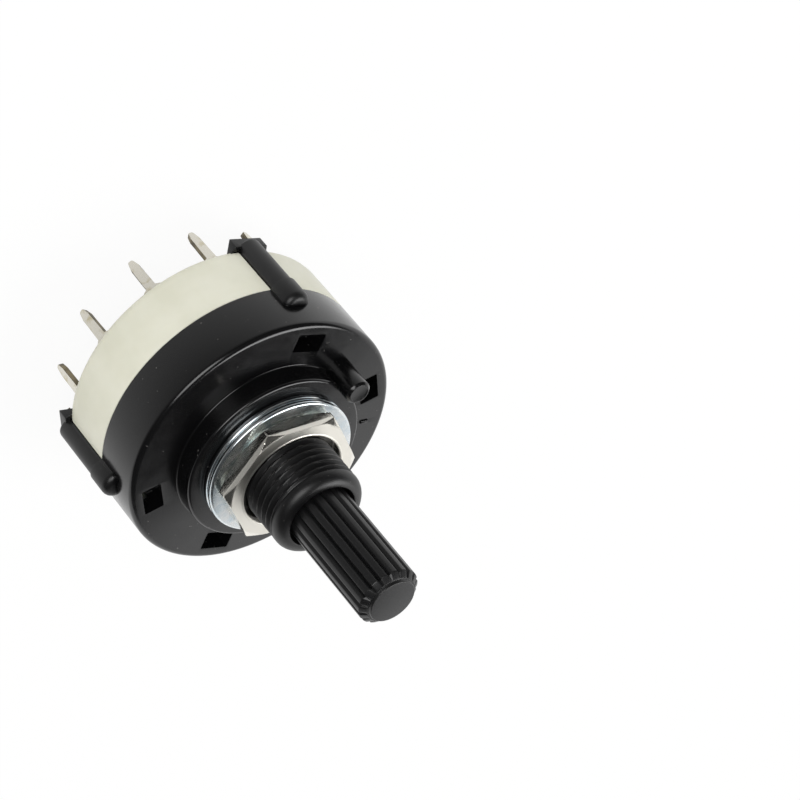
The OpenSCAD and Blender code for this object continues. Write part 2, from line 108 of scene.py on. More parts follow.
def turned(name, profile, around=240, shape=None, at=0.0):
    """A solid turned about the shaft's axis, or about a line beside it at the distance
    at in mm. The profile runs from axis to axis or closes on itself, and shape may
    change a radius with its angle."""
    mesh = bmesh.new()
    rings = []
    for r, z in profile:
        if r < 1e-6:
            rings.append([mesh.verts.new((at * mm, 0, z * mm))])
            continue
        ring = []
        for j in range(around):
            a = math.tau * j / around
            here = shape(r, z, a) if shape else r
            ring.append(mesh.verts.new(((at + here * math.cos(a)) * mm,
                                        here * math.sin(a) * mm, z * mm)))
        rings.append(ring)
    skin_over(mesh, rings, profile[0][0] > 1e-6)
    return new_object(name, mesh)


def block(low, high, edge=0.0, taper=None):
    """A box between two corners in mm, its edges rounded; taper may move its corners."""
    mesh = bmesh.new()
    bmesh.ops.create_cube(mesh, size=1)
    for vert in mesh.verts:
        where = [(h if c > 0 else l) for c, l, h in zip(vert.co, low, high)]
        vert.co = Vector(taper(*where) if taper else where) * mm
    if edge:
        bmesh.ops.bevel(mesh, geom=mesh.edges[:], offset=edge * mm, segments=3,
                        profile=0.5, affect="EDGES")
    return new_object("block", mesh)


def settled(made):
    """Turns an object's modifiers into its mesh."""
    bpy.context.view_layer.update()
    graph = bpy.context.evaluated_depsgraph_get()
    data = bpy.data.meshes.new_from_object(made.evaluated_get(graph))
    old = made.data
    made.modifiers.clear()
    made.data = data
    bpy.data.meshes.remove(old)
    return made


def carve(made, *tools, how="DIFFERENCE"):
    """Cuts tools out of a piece, or joins them on, and removes the tools."""
    for tool in tools:
        step = made.modifiers.new("carve", "BOOLEAN")
        step.object, step.operation, step.solver = tool, how, "MANIFOLD"
    settled(made)
    for tool in tools:
        bpy.data.objects.remove(tool)
    return made


def put(tree, kind, values=None, links=None, **settings):
    """Adds one node with its settings, its socket values and the links into it."""
    made = tree.nodes.new(kind)
    for key, value in settings.items():
        setattr(made, key, value)
    for key, value in (values or {}).items():
        made.inputs[key].default_value = value
    for key, source in (links or {}).items():
        tree.links.new(source, made.inputs[key])
    return made


def grow(made, tree, **wanted):
    """Runs a node tree on an object with the given inputs and keeps the plain mesh."""
    step = made.modifiers.new(tree.name, "NODES")
    step.node_group = tree
    for socket in tree.interface.items_tree:
        if socket.in_out == "INPUT" and socket.name.lower() in wanted:
            step[socket.identifier] = wanted[socket.name.lower()]
    return settled(made)


# What the switch has several of stands evenly round the shaft: pockets, slots, arms in
# two pairs, openings, terminals and posts. One tree sets the copies of such a shape.
round_shaft = bpy.data.node_groups.new("set round the shaft", "GeometryNodeTree")
for name, kind in (("Shape", "Geometry"), ("Count", "Int"), ("First", "Float"),
                   ("Finish", "Material")):
    round_shaft.interface.new_socket(name, in_out="INPUT", socket_type=f"NodeSocket{kind}")
round_shaft.interface.new_socket("Shape", in_out="OUTPUT", socket_type="NodeSocketGeometry")
given = put(round_shaft, "NodeGroupInput").outputs
index = put(round_shaft, "GeometryNodeInputIndex").outputs[0]
share = put(round_shaft, "ShaderNodeMath", links={0: index, 1: given["Count"]},
            operation="DIVIDE").outputs[0]
turn = put(round_shaft, "ShaderNodeMath", {1: math.tau}, {0: share, 2: given["First"]},
           operation="MULTIPLY_ADD").outputs[0]
facing = put(round_shaft, "ShaderNodeCombineXYZ", links={"Z": turn}).outputs[0]
points = put(round_shaft, "GeometryNodePoints", links={"Count": given["Count"]}).outputs[0]
copies = put(round_shaft, "GeometryNodeInstanceOnPoints",
             links={"Points": points, "Instance": given["Shape"], "Rotation": facing})
real = put(round_shaft, "GeometryNodeRealizeInstances", links={0: copies.outputs[0]})
dressed = put(round_shaft, "GeometryNodeSetMaterial",
              links={"Geometry": real.outputs[0], "Material": given["Finish"]})
put(round_shaft, "NodeGroupOutput", links={0: dressed.outputs[0]})


def all_round(shape, count, first=0.0, finish=None):
    """Sets copies of a shape round the shaft; the first stands at an angle in degrees."""
    return grow(shape, round_shaft, count=count, first=math.radians(first), finish=finish)


def fasten(made, name, body, material, nodes=(), crease=32):
    """Shades a finished piece, gives it its material and fixes it to its body."""
    made.name = made.data.name = name
    mesh = bmesh.new()
    mesh.from_mesh(made.data)
    bmesh.ops.remove_doubles(mesh, verts=mesh.verts, dist=2e-8)
    for face in mesh.faces:
        face.smooth = True
        face.material_index = 0
    for edge in mesh.edges:
        edge.smooth = len(edge.link_faces) == 2 and edge.calc_face_angle(0) < math.radians(crease)
    mesh.to_mesh(made.data)
    mesh.free()
    made.data.materials.clear()
    made.data.materials.append(material)
    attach(made, body)
    if nodes:
        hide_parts(*nodes)
    return made


def linear(code):
    """An sRGB hex colour as the linear values that a shader takes."""
    parts = [int(code[i:i + 2], 16) / 255 for i in (1, 3, 5)]
    return [p / 12.92 if p <= 0.04045 else ((p + 0.055) / 1.055) ** 2.4 for p in parts] + [1]


def new_material(name, **values):
    """A material with its shader, and the coordinates that its patterns use."""
    made = bpy.data.materials.new(name)
    made.use_nodes = True
    tree = made.node_tree
    tree.nodes.clear()
    shader = put(tree, "ShaderNodeBsdfPrincipled", values)
    put(tree, "ShaderNodeOutputMaterial", links={"Surface": shader.outputs[0]})
    where = put(tree, "ShaderNodeTexCoord").outputs["Object"]
    return made, tree, shader, where


def shades(tree, fac, stops):
    """A colour ramp from (place, hex colour) stops, driven by a pattern."""
    ramp = put(tree, "ShaderNodeValToRGB", links={"Fac": fac})
    for i, (place, code) in enumerate(stops):
        stop = ramp.color_ramp.elements[i] if i < 2 else ramp.color_ramp.elements.new(place)
        stop.position, stop.color = place, linear(code)
    return ramp.outputs["Color"]


# Moulded PBT has a fine even grain from the tool, about a tenth of a millimetre, and
# shallow sink marks a few millimetres wide. It lets a little light in at its edges.
cream_pbt, tree, shader, where = new_material(
    "moulded cream PBT", **{"Roughness": 0.42, "IOR": 1.55, "Subsurface Weight": 0.05,
                            "Subsurface Scale": 0.5 * mm,
                            "Subsurface Radius": (1.0, 0.8, 0.5)})
cloudy = put(tree, "ShaderNodeTexNoise", {"Scale": 1 / (4 * mm), "Detail": 3}, {"Vector": where})
tree.links.new(shades(tree, cloudy.outputs["Fac"], [(0.35, "#DAD9C7"), (0.65, "#E2E1D1")]),
               shader.inputs["Base Color"])
grain = put(tree, "ShaderNodeTexNoise", {"Scale": 1 / (0.11 * mm), "Detail": 2}, {"Vector": where})
sinks = put(tree, "ShaderNodeBump", {"Strength": 0.25, "Distance": 0.02 * mm},
            {"Height": cloudy.outputs["Fac"]})
skin = put(tree, "ShaderNodeBump", {"Strength": 0.35, "Distance": 0.004 * mm},
           {"Height": grain.outputs["Fac"], "Normal": sinks.outputs[0]})
tree.links.new(skin.outputs[0], shader.inputs["Normal"])


def flared(x, y, z):
    """Moves a hook's corners: it narrows outwards, and its rear face slopes."""
    out = (x - hook_tip) / (hook_out - hook_tip)
    narrowed = y * (1 - out * hook_flare / hook_half)
    return x, narrowed, z - (hook_slope * out if z < hook_middle else 0)


base = turned("base", rounded([
    (0, rear_z, 0), (body_r, rear_z, 1.0), (body_r, seam_z, 0.08), (lip_out, seam_z, 0),
    (lip_out, lip_top, 0.15), (lip_in, lip_top, 0.15), (lip_in, floor_z, 0.1),
    (hub_r, floor_z, 0.1), (hub_r, hub_top, 0.1), (socket_r, hub_top, 0.1),
    (socket_r, socket_z, 0), (0, socket_z, 0)]))
# Each cutter runs past the faces that it opens.
half, channel_half = root_w / 2 + pocket_gap, arm_w / 2 + channel_gap
seat_half = hook_half + seat_gap
carve(base,
      all_round(block((pocket_in, -half, floor_z + 0.01), (pocket_out, half, 14)), 12),
      all_round(block((pin_r - slot_half, -half, 4), (pin_r + slot_half, half, 7)), 12),
      all_round(block((common_r - slot_half, -half, 4), (common_r + slot_half, half, 7)),
                3, 45),
      *[all_round(block((channel_r, -channel_half, 3), (16, channel_half, seam_z + 0.02)),
                  2, first) for first in (arm_first, arm_second)],
      *[all_round(block((hook_tip - seat_gap, -seat_half, 3.5),
                        (15, seat_half, rear_z + seat_depth), 0, flared), 2, first)
        for first in (arm_first, arm_second)])
fasten(base, "terminal_base", "switch_body", cream_pbt, ["base"])

# THE NUMBERS ON THE BASE
# Raised characters moulded with the rear face, which they stand a sixth of a millimetre
# proud of: one number inside each outer terminal and a letter beside each common one.
type_size, type_half, type_edge, trimmed, sunk = 2.295, 0.12, 0.03, 0.02, 0.02
number_r, letter_r = 9.3, 6.2  # the figures of this type are about 1.6 mm tall
labels = [(str(n + 1), number_r, 30 * n) for n in range(12)]
labels += [("A", letter_r, 45), ("B", letter_r, 165), ("C", letter_r, 285)]
characters = bmesh.new()
for words, r, angle in labels:
    curve = bpy.data.curves.new("character", "FONT")
    curve.body, curve.align_x, curve.align_y = words, "CENTER", "CENTER"
    curve.size = type_size * mm
    curve.extrude = type_half * mm
    curve.bevel_depth = type_edge * mm
    curve.offset = -trimmed * mm
    written = bpy.data.objects.new("character", curve)
    bpy.context.scene.collection.objects.link(written)
    bpy.context.view_layer.update()
    flat = bpy.data.meshes.new_from_object(written.evaluated_get(
        bpy.context.evaluated_depsgraph_get()))
    flat.transform(Matrix.Rotation(math.pi, 4, "X"))
    flat.transform(Matrix.Rotation(-math.pi / 2, 4, "Z"))
    flat.transform(Matrix.Translation((r * mm, 0, (rear_z - sunk) * mm)))
    flat.transform(Matrix.Rotation(math.radians(angle), 4, "Z"))
    characters.from_mesh(flat)
    bpy.data.objects.remove(written)
    bpy.data.curves.remove(curve)
    bpy.data.meshes.remove(flat)
bmesh.ops.remove_doubles(characters, verts=characters.verts, dist=1e-7)
fasten(new_object("characters", characters), "base_characters", "switch_body",
       cream_pbt)

# THE TERMINALS
# Fifteen pins stamped from half-millimetre brass strip that was tinned before it was cut.
# Behind the base each has a web, two slit ears bent and twisted to lock it, and a tapered
# pin. Inside, the outer ones end in a flat tongue and the common ones in an arc-shaped pad.
pin_w, pin_taper, pin_neck, web_w, web_len, web_step = 0.9, 0.9, 0.25, 1.85, 0.6, 0.11
strip_edge, ear_thinned, ear_root = 0.03, 0.96, 0.05
tongue_t, tongue_in, tongue_half, tongue_edge = 0.4, 8.7, 1.2, 0.04
pad_in, pad_out, pad_reach = 3.6, 5.6, 54

# Tin is a bright silver with a warm cast, smeared along the strip by the rolls and
# stained where it was handled. The cut edges are bare brass, dark and dull.
tinned_brass, tree, shader, where = new_material("tinned brass strip", **{"Metallic": 1.0})
stain = put(tree, "ShaderNodeTexNoise", {"Scale": 1 / (1.1 * mm), "Detail": 4, "Roughness": 0.6},
            {"Vector": where})
tin = shades(tree, stain.outputs["Fac"], [(0.3, "#CFC5A6"), (0.48, "#ECE8DC")])
bare = shades(tree, stain.outputs["Fac"], [(0.35, "#564F40"), (0.6, "#8C826A")])
cut = put(tree, "ShaderNodeAttribute", attribute_name="cut").outputs["Fac"]
face_or_edge = put(tree, "ShaderNodeMix", links={0: cut, 6: tin, 7: bare}, data_type="RGBA")
tree.links.new(face_or_edge.outputs[2], shader.inputs["Base Color"])
worn = put(tree, "ShaderNodeMapRange", {"To Min": 0.16, "To Max": 0.34},
           {"Value": stain.outputs["Fac"]})
dull = put(tree, "ShaderNodeMath", {1: 0.18}, {0: cut, 2: worn.outputs[0]},
           operation="MULTIPLY_ADD")
tree.links.new(dull.outputs[0], shader.inputs["Roughness"])
stretched = put(tree, "ShaderNodeMapping", {"Scale": (1, 1, 0.12)}, {"Vector": where})
rolling = put(tree, "ShaderNodeTexNoise", {"Scale": 1 / (0.09 * mm), "Detail": 2},
              {"Vector": stretched.outputs[0]})
lines = put(tree, "ShaderNodeBump", {"Strength": 0.3, "Distance": 0.004 * mm},
            {"Height": rolling.outputs["Fac"]})
tree.links.new(lines.outputs[0], shader.inputs["Normal"])


def strip_plate(outline, x0, x1, edge):
    """A strip of the given outline (y, z) between two distances from the axis."""
    mesh = bmesh.new()
    rings = [[mesh.verts.new((x * mm, y * mm, z * mm)) for y, z in outline] for x in (x0, x1)]
    skin_over(mesh, rings)
    bmesh.ops.bevel(mesh, geom=mesh.edges[:], offset=edge * mm, segments=2, affect="EDGES")
    return new_object("plate", mesh)


def slit_ear(x, side):
    """The ear of a terminal, which leans outward and twists as it leaves the base."""
    mesh = bmesh.new()
    length, width, lean, twist, steps = 0.6, 0.5, 0.16, math.radians(30), 8
    rings = []
    for k in range(steps + 1):
        s = k / steps
        draw = 1 - 0.3 * max(0, s - 0.8) / 0.2  # the last fifth narrows by three tenths
        ring = []
        for cx, cy in ((1, 0.75), (0.75, 1), (-0.75, 1), (-1, 0.75),
                       (-1, -0.75), (-0.75, -1), (0.75, -1), (1, -0.75)):
            px, py = cx * strip_t / 2 * ear_thinned * draw, cy * width / 2 * draw
            a = side * twist * s
            ring.append(mesh.verts.new((
                (x + px * math.cos(a) - py * math.sin(a)) * mm,
                (side * (root_w / 2 - width / 2 + lean * s * s)
                 + px * math.sin(a) + py * math.cos(a)) * mm,
                (rear_z + ear_root - length * s) * mm)))
        rings.append(ring)
    skin_over(mesh, rings)
    return new_object("ear", mesh)


def stamped_terminal(x, inside):
    """One terminal at angle 0, joined to its pad or tongue, its cut edges marked."""
    side = [(root_w / 2, floor_z + tongue_t), (root_w / 2, rear_z - web_step),
            (web_w / 2, rear_z - web_step), (web_w / 2, rear_z - web_len),
            (pin_w / 2, rear_z - web_len - pin_neck),
            (pin_w / 2, pin_taper), (pin_w / 2 * 0.6, 0.13), (pin_w / 2 * 0.35, 0.0)]
    outline = side + [(-y, z) for y, z in reversed(side)]
    made = strip_plate(outline, x - strip_t / 2, x + strip_t / 2, strip_edge)
    carve(made, slit_ear(x, 1), slit_ear(x, -1), inside, how="UNION")
    cut_face = made.data.attributes.new("cut", "FLOAT", "FACE")
    for face, mark in zip(made.data.polygons, cut_face.data):
        mark.value = 1.0 if abs(face.normal.x) < 0.5 and face.center.z < rear_z * mm else 0.0
    return made


pad_top = floor_z + tongue_t - 0.01
outer = stamped_terminal(pin_r, block((tongue_in, -tongue_half, floor_z),
                                      (pin_r + 0.05, tongue_half, pad_top), tongue_edge))
fasten(all_round(outer, 12, 0, tinned_brass), "outer_terminals", "switch_body",
       tinned_brass, [f"terminal_{n + 1}" for n in range(12)])

pad = bmesh.new()
skin_over(pad, [[pad.verts.new((r * mm * math.cos(a), r * mm * math.sin(a), z * mm))
                 for r, z in ((pad_in, floor_z), (pad_out, floor_z), (pad_out, pad_top),
                              (pad_in, pad_top))]
                for a in [math.radians(3 * k - pad_reach) for k in range(37)]])
inner = stamped_terminal(common_r, new_object("pad", pad))
fasten(all_round(inner, 3, 45, tinned_brass), "inner_terminals", "switch_body",
       tinned_brass, [f"common_terminal_{c}" for c in "abc"])

# THE WIPERS
# Three sprung bridges of phosphor bronze under the rotor, narrow at the inner foot and
# split into two fingers at the outer one. They are hidden in the closed switch.
bronze, tree, shader, where = new_material(
    "rolled phosphor bronze", **{"Metallic": 1.0, "Base Color": linear("#D9B679")})
rolling = put(tree, "ShaderNodeTexNoise", {"Scale": 1 / (0.2 * mm), "Detail": 3}, {"Vector": where})
worn = put(tree, "ShaderNodeMapRange", {"To Min": 0.22, "To Max": 0.38},
           {"Value": rolling.outputs["Fac"]})
tree.links.new(worn.outputs[0], shader.inputs["Roughness"])

for letter in "abc":
    eased = bmesh.new()
    eased.from_mesh(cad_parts[f"wiper_{letter}"].data)
    bmesh.ops.remove_doubles(eased, verts=eased.verts, dist=1e-6)
    bmesh.ops.dissolve_limit(eased, angle_limit=math.radians(1), verts=eased.verts,
                             edges=eased.edges)
    sharp = [e for e in eased.edges if e.calc_face_angle(0) > math.radians(30)]
    bmesh.ops.bevel(eased, geom=sharp, offset=0.02 * mm, segments=2, affect="EDGES")
    fasten(new_object("wiper", eased), f"contact_bridge_{letter}", "rotor",
           bronze, [f"wiper_{letter}"])

# THE SHAFT AND ROTOR
# One moulding in black acetal: a rear pivot, a disc with the cross bore and the stop
# groove, a smooth journal, and a splined end of 6 mm with eighteen flat-topped teeth.
shaft_r, journal_r, journal_top, shoulder_z, tip_z = 3.0, 3.1, 24.1, 24.2, 37.5
chamfer_h, chamfer_r, pip_h, pip_foot_r, pip_r = 0.75, 2.42, 0.28, 2.3, 2.22
spline_depth, spline_count, per_tooth, vee_points, tooth_ease = 0.34, 18, 16, 4, 0.02
spline_foot, spline_fade = 24.3, 0.35
pivot_r, pivot_low, boss_low, low_boss_r = 1.9, 5.5, 8.6, 2.8
disc_r, rotor_low, rotor_top, bore_z, bore_r = 9.3, 9.6, 14.2, 11.5, 1.55
groove_in, groove_out, groove_floor, groove_from, groove_sweep = 5.6, 6.8, 13.35, 36, 108
post_at, post_r, post_pin_r, post_low, post_step, post_top = 6.9, 0.75, 0.5, 8.85, 9.2, 9.8

# Acetal is satin, with a slick skin; the tool leaves faint lines along the splines.
acetal, tree, shader, where = new_material(
    "moulded black acetal", **{"Base Color": linear("#121213"), "IOR": 1.55})
stretched = put(tree, "ShaderNodeMapping", {"Scale": (1, 1, 0.1)}, {"Vector": where})
streaks = put(tree, "ShaderNodeTexNoise", {"Scale": 1 / (0.16 * mm), "Detail": 3},
              {"Vector": stretched.outputs[0]})
worn = put(tree, "ShaderNodeMapRange", {"To Min": 0.28, "To Max": 0.42},
           {"Value": streaks.outputs["Fac"]})
tree.links.new(worn.outputs[0], shader.inputs["Roughness"])
lines = put(tree, "ShaderNodeBump", {"Strength": 0.4, "Distance": 0.006 * mm},
            {"Height": streaks.outputs["Fac"]})
tree.links.new(lines.outputs[0], shader.inputs["Normal"])


def splined(r, z, a):
    """The radius of the shaft at an angle, with V grooves and flat teeth between them.
    away is how far a point of the ring is from the middle of a groove, in points."""
    if z < spline_foot or r < 1.5:
        return r
    away = abs((a * spline_count / math.tau + 0.5) % 1 - 0.5) * per_tooth
    eased = tooth_ease if away < vee_points + 0.5 else 0
    depth = spline_depth * (1 - away / vee_points) if away < vee_points - 0.5 else eased
    fade = min(1, (z - spline_foot) / spline_fade)
    return min(r, shaft_r - depth * fade)


tip = rounded([(shaft_r, 30, 0), (shaft_r, tip_z - chamfer_h, 0.12),
               (chamfer_r, tip_z - pip_h, 0.06), (pip_foot_r, tip_z - pip_h, 0.04),
               (pip_r, tip_z, 0.08), (0, tip_z, 0)], 4)
rotor = turned("rotor", rounded([
    (0, pivot_low, 0), (pivot_r, pivot_low, 0.2), (pivot_r, boss_low, 0),
    (low_boss_r, boss_low, 0.1), (low_boss_r, rotor_low, 0), (disc_r, rotor_low, 0.2),
    (disc_r, rotor_top, 0.2), (journal_r, rotor_top, 0), (journal_r, journal_top, 0.08),
    (shaft_r, shoulder_z, 0), (shaft_r, spline_foot, 0)], 4)
    + [(shaft_r, spline_foot + spline_fade * k / 4) for k in range(1, 5)]
    + tip[1:], spline_count * per_tooth, splined)
bore = bmesh.new()
bmesh.ops.create_cone(bore, cap_ends=True, segments=48, radius1=bore_r * mm,
                      radius2=bore_r * mm, depth=24 * mm)
bore.transform(Matrix.Translation((0, 0, bore_z * mm)) @ Matrix.Rotation(math.pi / 2, 4, "Y"))
groove = bmesh.new()
skin_over(groove, [[groove.verts.new((r * mm * math.cos(a), r * mm * math.sin(a), z * mm))
                    for r, z in ((groove_in, groove_floor), (groove_out, groove_floor),
                                 (groove_out, 15), (groove_in, 15))]
                   for a in [math.radians(groove_from + groove_sweep * k / 36)
                             for k in range(37)]])
carve(rotor, new_object("cross bore", bore), new_object("stop groove", groove))
post = turned("post", rounded([
    (0, post_low, 0), (post_r, post_low, 0.1), (post_r, post_step, 0.1),
    (post_pin_r, post_step, 0), (post_pin_r, post_top, 0), (0, post_top, 0)], 3),
    32, None, post_at)
carve(rotor, all_round(post, 3), how="UNION")
fasten(rotor, "splined_shaft", "rotor", acetal, ["rotor_shaft"], 28)

# THE INDEX MECHANISM
# Two bright steel balls in the rotor's cross bore, pressed apart by a coil spring. They
# ride in the scallops of the housing and give the switch its clicks.
ball_r, ball_at, wire_r, coil_r, coil_len, turns = 1.5, 8.05, 0.175, 1.175, 13.6, 10

# Polished bearing steel, with hair-fine scratches that only roughen it a little.
steel, tree, shader, where = new_material(
    "polished bearing steel", **{"Metallic": 1.0, "Base Color": linear("#C9CACD")})
scratch = put(tree, "ShaderNodeTexNoise", {"Scale": 1 / (0.1 * mm), "Detail": 2}, {"Vector": where})
worn = put(tree, "ShaderNodeMapRange", {"To Min": 0.1, "To Max": 0.24},
           {"Value": scratch.outputs["Fac"]})
tree.links.new(worn.outputs[0], shader.inputs["Roughness"])

half_circle = [(ball_r * math.sin(math.pi * k / 32), bore_z - ball_r * math.cos(math.pi * k / 32))
               for k in range(33)]
for number, at in ((1, ball_at), (2, -ball_at)):
    fasten(turned("ball", half_circle, 64, None, at), f"index_ball_{number}", "rotor",
           steel, [f"detent_ball_{number}"])

# The spring's wire follows a coil with closed ends, and a tree sweeps it.
coil = bpy.data.node_groups.new("coil spring", "GeometryNodeTree")
coil.interface.new_socket("Geometry", in_out="INPUT", socket_type="NodeSocketGeometry")
for name in ("Turns", "Length", "Coil", "Wire", "Height"):
    coil.interface.new_socket(name, in_out="INPUT", socket_type="NodeSocketFloat")
coil.interface.new_socket("Geometry", in_out="OUTPUT", socket_type="NodeSocketGeometry")
given = put(coil, "NodeGroupInput").outputs
rings = 400
line = put(coil, "GeometryNodeCurvePrimitiveLine").outputs[0]
wire = put(coil, "GeometryNodeResampleCurve", {"Count": rings}, {"Curve": line}).outputs[0]
share = put(coil, "ShaderNodeMath", {1: rings - 1},
            {0: put(coil, "GeometryNodeInputIndex").outputs[0]}, operation="DIVIDE").outputs[0]
closing = put(coil, "ShaderNodeMapRange", {"To Min": -0.5, "To Max": 0.5}, {"Value": share},
              interpolation_type="SMOOTHSTEP").outputs[0]
evenly = put(coil, "ShaderNodeMath", {1: 0.5}, {0: share}, operation="SUBTRACT").outputs[0]
along = put(coil, "ShaderNodeMix", {"Factor": 0.45}, {"A": evenly, "B": closing}).outputs[0]
x = put(coil, "ShaderNodeMath", links={0: along, 1: given["Length"]}, operation="MULTIPLY")
whole = put(coil, "ShaderNodeMath", {1: math.tau}, {0: given["Turns"]}, operation="MULTIPLY")
angle = put(coil, "ShaderNodeMath", links={0: share, 1: whole.outputs[0]},
            operation="MULTIPLY").outputs[0]
cosine = put(coil, "ShaderNodeMath", links={0: angle}, operation="COSINE").outputs[0]
sine = put(coil, "ShaderNodeMath", links={0: angle}, operation="SINE").outputs[0]
y = put(coil, "ShaderNodeMath", links={0: cosine, 1: given["Coil"]}, operation="MULTIPLY")
z = put(coil, "ShaderNodeMath", links={0: sine, 1: given["Coil"], 2: given["Height"]},
        operation="MULTIPLY_ADD")
place = put(coil, "ShaderNodeCombineXYZ",
            links={"X": x.outputs[0], "Y": y.outputs[0], "Z": z.outputs[0]}).outputs[0]
bent = put(coil, "GeometryNodeSetPosition", links={"Geometry": wire, "Position": place})
section = put(coil, "GeometryNodeCurvePrimitiveCircle", {"Resolution": 10},
              {"Radius": given["Wire"]}).outputs[0]
solid = put(coil, "GeometryNodeCurveToMesh", {"Fill Caps": True},
            {"Curve": bent.outputs[0], "Profile Curve": section})
real = put(coil, "GeometryNodeRealizeInstances", links={0: solid.outputs[0]})
dressed = put(coil, "GeometryNodeSetMaterial", {"Material": steel}, {0: real.outputs[0]})
put(coil, "NodeGroupOutput", links={0: dressed.outputs[0]})
spring = grow(new_object("spring", bmesh.new()), coil, turns=float(turns), length=coil_len * mm,
              coil=coil_r * mm, wire=wire_r * mm, height=bore_z * mm)
fasten(spring, "index_spring", "rotor", steel, ["detent_spring"], 60)

# THE HOUSING
# One moulding in black glass-filled PBT: the drum, the boss with the threaded bushing and
# its rounded end, the locating peg, the detent track inside, and four ribs that run on as
# snap arms over the base and end in wedge hooks behind it.
face_z, boss_z, plate_z, boss_r, bushing_r, bushing_in = 16.0, 18.1, 14.4, 8.8, 4.5, 3.15
moat_in, moat_out, crest_r, scallop_depth, scallop_r = 11.05, 12.15, 9.6, 0.3, 3.0
pitch, thread_depth, thread_from, thread_to = 0.75, 0.4, 18.6, 25.1
crest_flat, run_out, rows_per_turn = 0.12, 0.3, 14
dome_top, dome_round, mouth_r, mouth_z = 26.2, 1.05, 3.3, 24.4
window_w, window_h, window_at = 3.0, 1.9, 11.25
stop_in, stop_out, stop_half, stop_low, stop_high = 5.8, 6.6, 0.9, 13.8, 19.8
arm_at, arm_r, arm_gap, arm_tuck, hook_low = 13.2, 1.25, 0.08, 0.5, 0.28
rib_r, rib_top, rib_round, rib_inside = arm_r + 0.15, face_z - 2.6, 0.7, 12.7
peg_r, peg_at, peg_angle, peg_low, peg_top = 1.2, 9.5, 45, 15.5, 19.65
peg_foot_r, peg_face_r, peg_chamfer, dish_rim, dish_floor, dish = 1.28, 1.27, 0.22, 0.34, 0.38, 0.04
mark_in, mark_out, mark_half, mark_top, mark_angle = 10.8, 11.6, 0.17, 16.13, 354.5
gloss_at, gloss_half, gloss_fade = 9.3, 4.15, 0.25

# The skin is a half-gloss black that mirrors the rings softly. It is duller on the thread,
# which the nut rubs, and on the arms outside the drum, which fingers touch; the gloss lies
# between them. A grain from the tool, flow lines, scuffs and specks of dust break it up.
black_pbt, tree, shader, where = new_material("moulded black PBT", **{"IOR": 1.55})
speck = put(tree, "ShaderNodeTexNoise", {"Scale": 1 / (0.35 * mm), "Detail": 1}, {"Vector": where})
dust = put(tree, "ShaderNodeMapRange", {"From Min": 0.755, "From Max": 0.8},
           {"Value": speck.outputs["Fac"]}).outputs[0]
tree.links.new(shades(tree, dust, [(0.0, "#0B0B0C"), (1.0, "#4C4B49")]),
               shader.inputs["Base Color"])
scuff = put(tree, "ShaderNodeTexNoise", {"Scale": 1 / (1.6 * mm), "Detail": 6, "Roughness": 0.65},
            {"Vector": where})
worn = put(tree, "ShaderNodeMapRange", {"From Min": 0.35, "From Max": 0.7, "To Min": 0.16,
                                        "To Max": 0.22}, {"Value": scuff.outputs["Fac"]})
across = put(tree, "ShaderNodeVectorMath", {1: (1, 1, 0)}, {0: where}, operation="MULTIPLY")
off_axis = put(tree, "ShaderNodeVectorMath", links={0: across.outputs[0]}, operation="LENGTH")
off_gloss = put(tree, "ShaderNodeMath", {1: gloss_at * mm}, {0: off_axis.outputs["Value"]},
                operation="SUBTRACT").outputs[0]
either_side = put(tree, "ShaderNodeMath", links={0: off_gloss}, operation="ABSOLUTE").outputs[0]
rubbed = put(tree, "ShaderNodeMapRange",
             {"From Min": gloss_half * mm, "From Max": (gloss_half + gloss_fade) * mm,
              "To Min": 0.0, "To Max": 0.22}, {"Value": either_side})
dulled = put(tree, "ShaderNodeMath", links={0: worn.outputs[0], 1: rubbed.outputs[0]})
tree.links.new(dulled.outputs[0], shader.inputs["Roughness"])
grain = put(tree, "ShaderNodeTexNoise", {"Scale": 1 / (0.1 * mm), "Detail": 2}, {"Vector": where})
waves = put(tree, "ShaderNodeTexNoise", {"Scale": 1 / (3 * mm), "Detail": 2}, {"Vector": where})
flow = put(tree, "ShaderNodeBump", {"Strength": 0.3, "Distance": 0.008 * mm},
           {"Height": waves.outputs["Fac"]})
skin = put(tree, "ShaderNodeBump", {"Strength": 0.3, "Distance": 0.003 * mm},
           {"Height": grain.outputs["Fac"], "Normal": flow.outputs[0]})
tree.links.new(skin.outputs[0], shader.inputs["Normal"])


def housing_shape(r, z, a):
    """The radius of the housing's wall, with the thread outside and the scallops inside."""
    if abs(r - bushing_r) < 1e-6 and thread_from < z < thread_to:
        phase = abs((z / pitch - a / math.tau) % 1 - 0.5) * 2
        valley = min(1, max(0, (phase - crest_flat) / (1 - 2 * crest_flat)))
        ends = min(1, (z - thread_from) / run_out, (thread_to - z) / run_out)
        return r - thread_depth * valley * max(0, ends)
    if abs(r - crest_r) < 1e-6:
        turn = (a + math.pi / 12) % (math.pi / 6) - math.pi / 12
        centre = crest_r + scallop_depth - scallop_r
        reach = scallop_r ** 2 - (centre * math.sin(turn)) ** 2
        if reach > 0:
            return max(r, centre * math.cos(turn) + math.sqrt(reach))
    return r


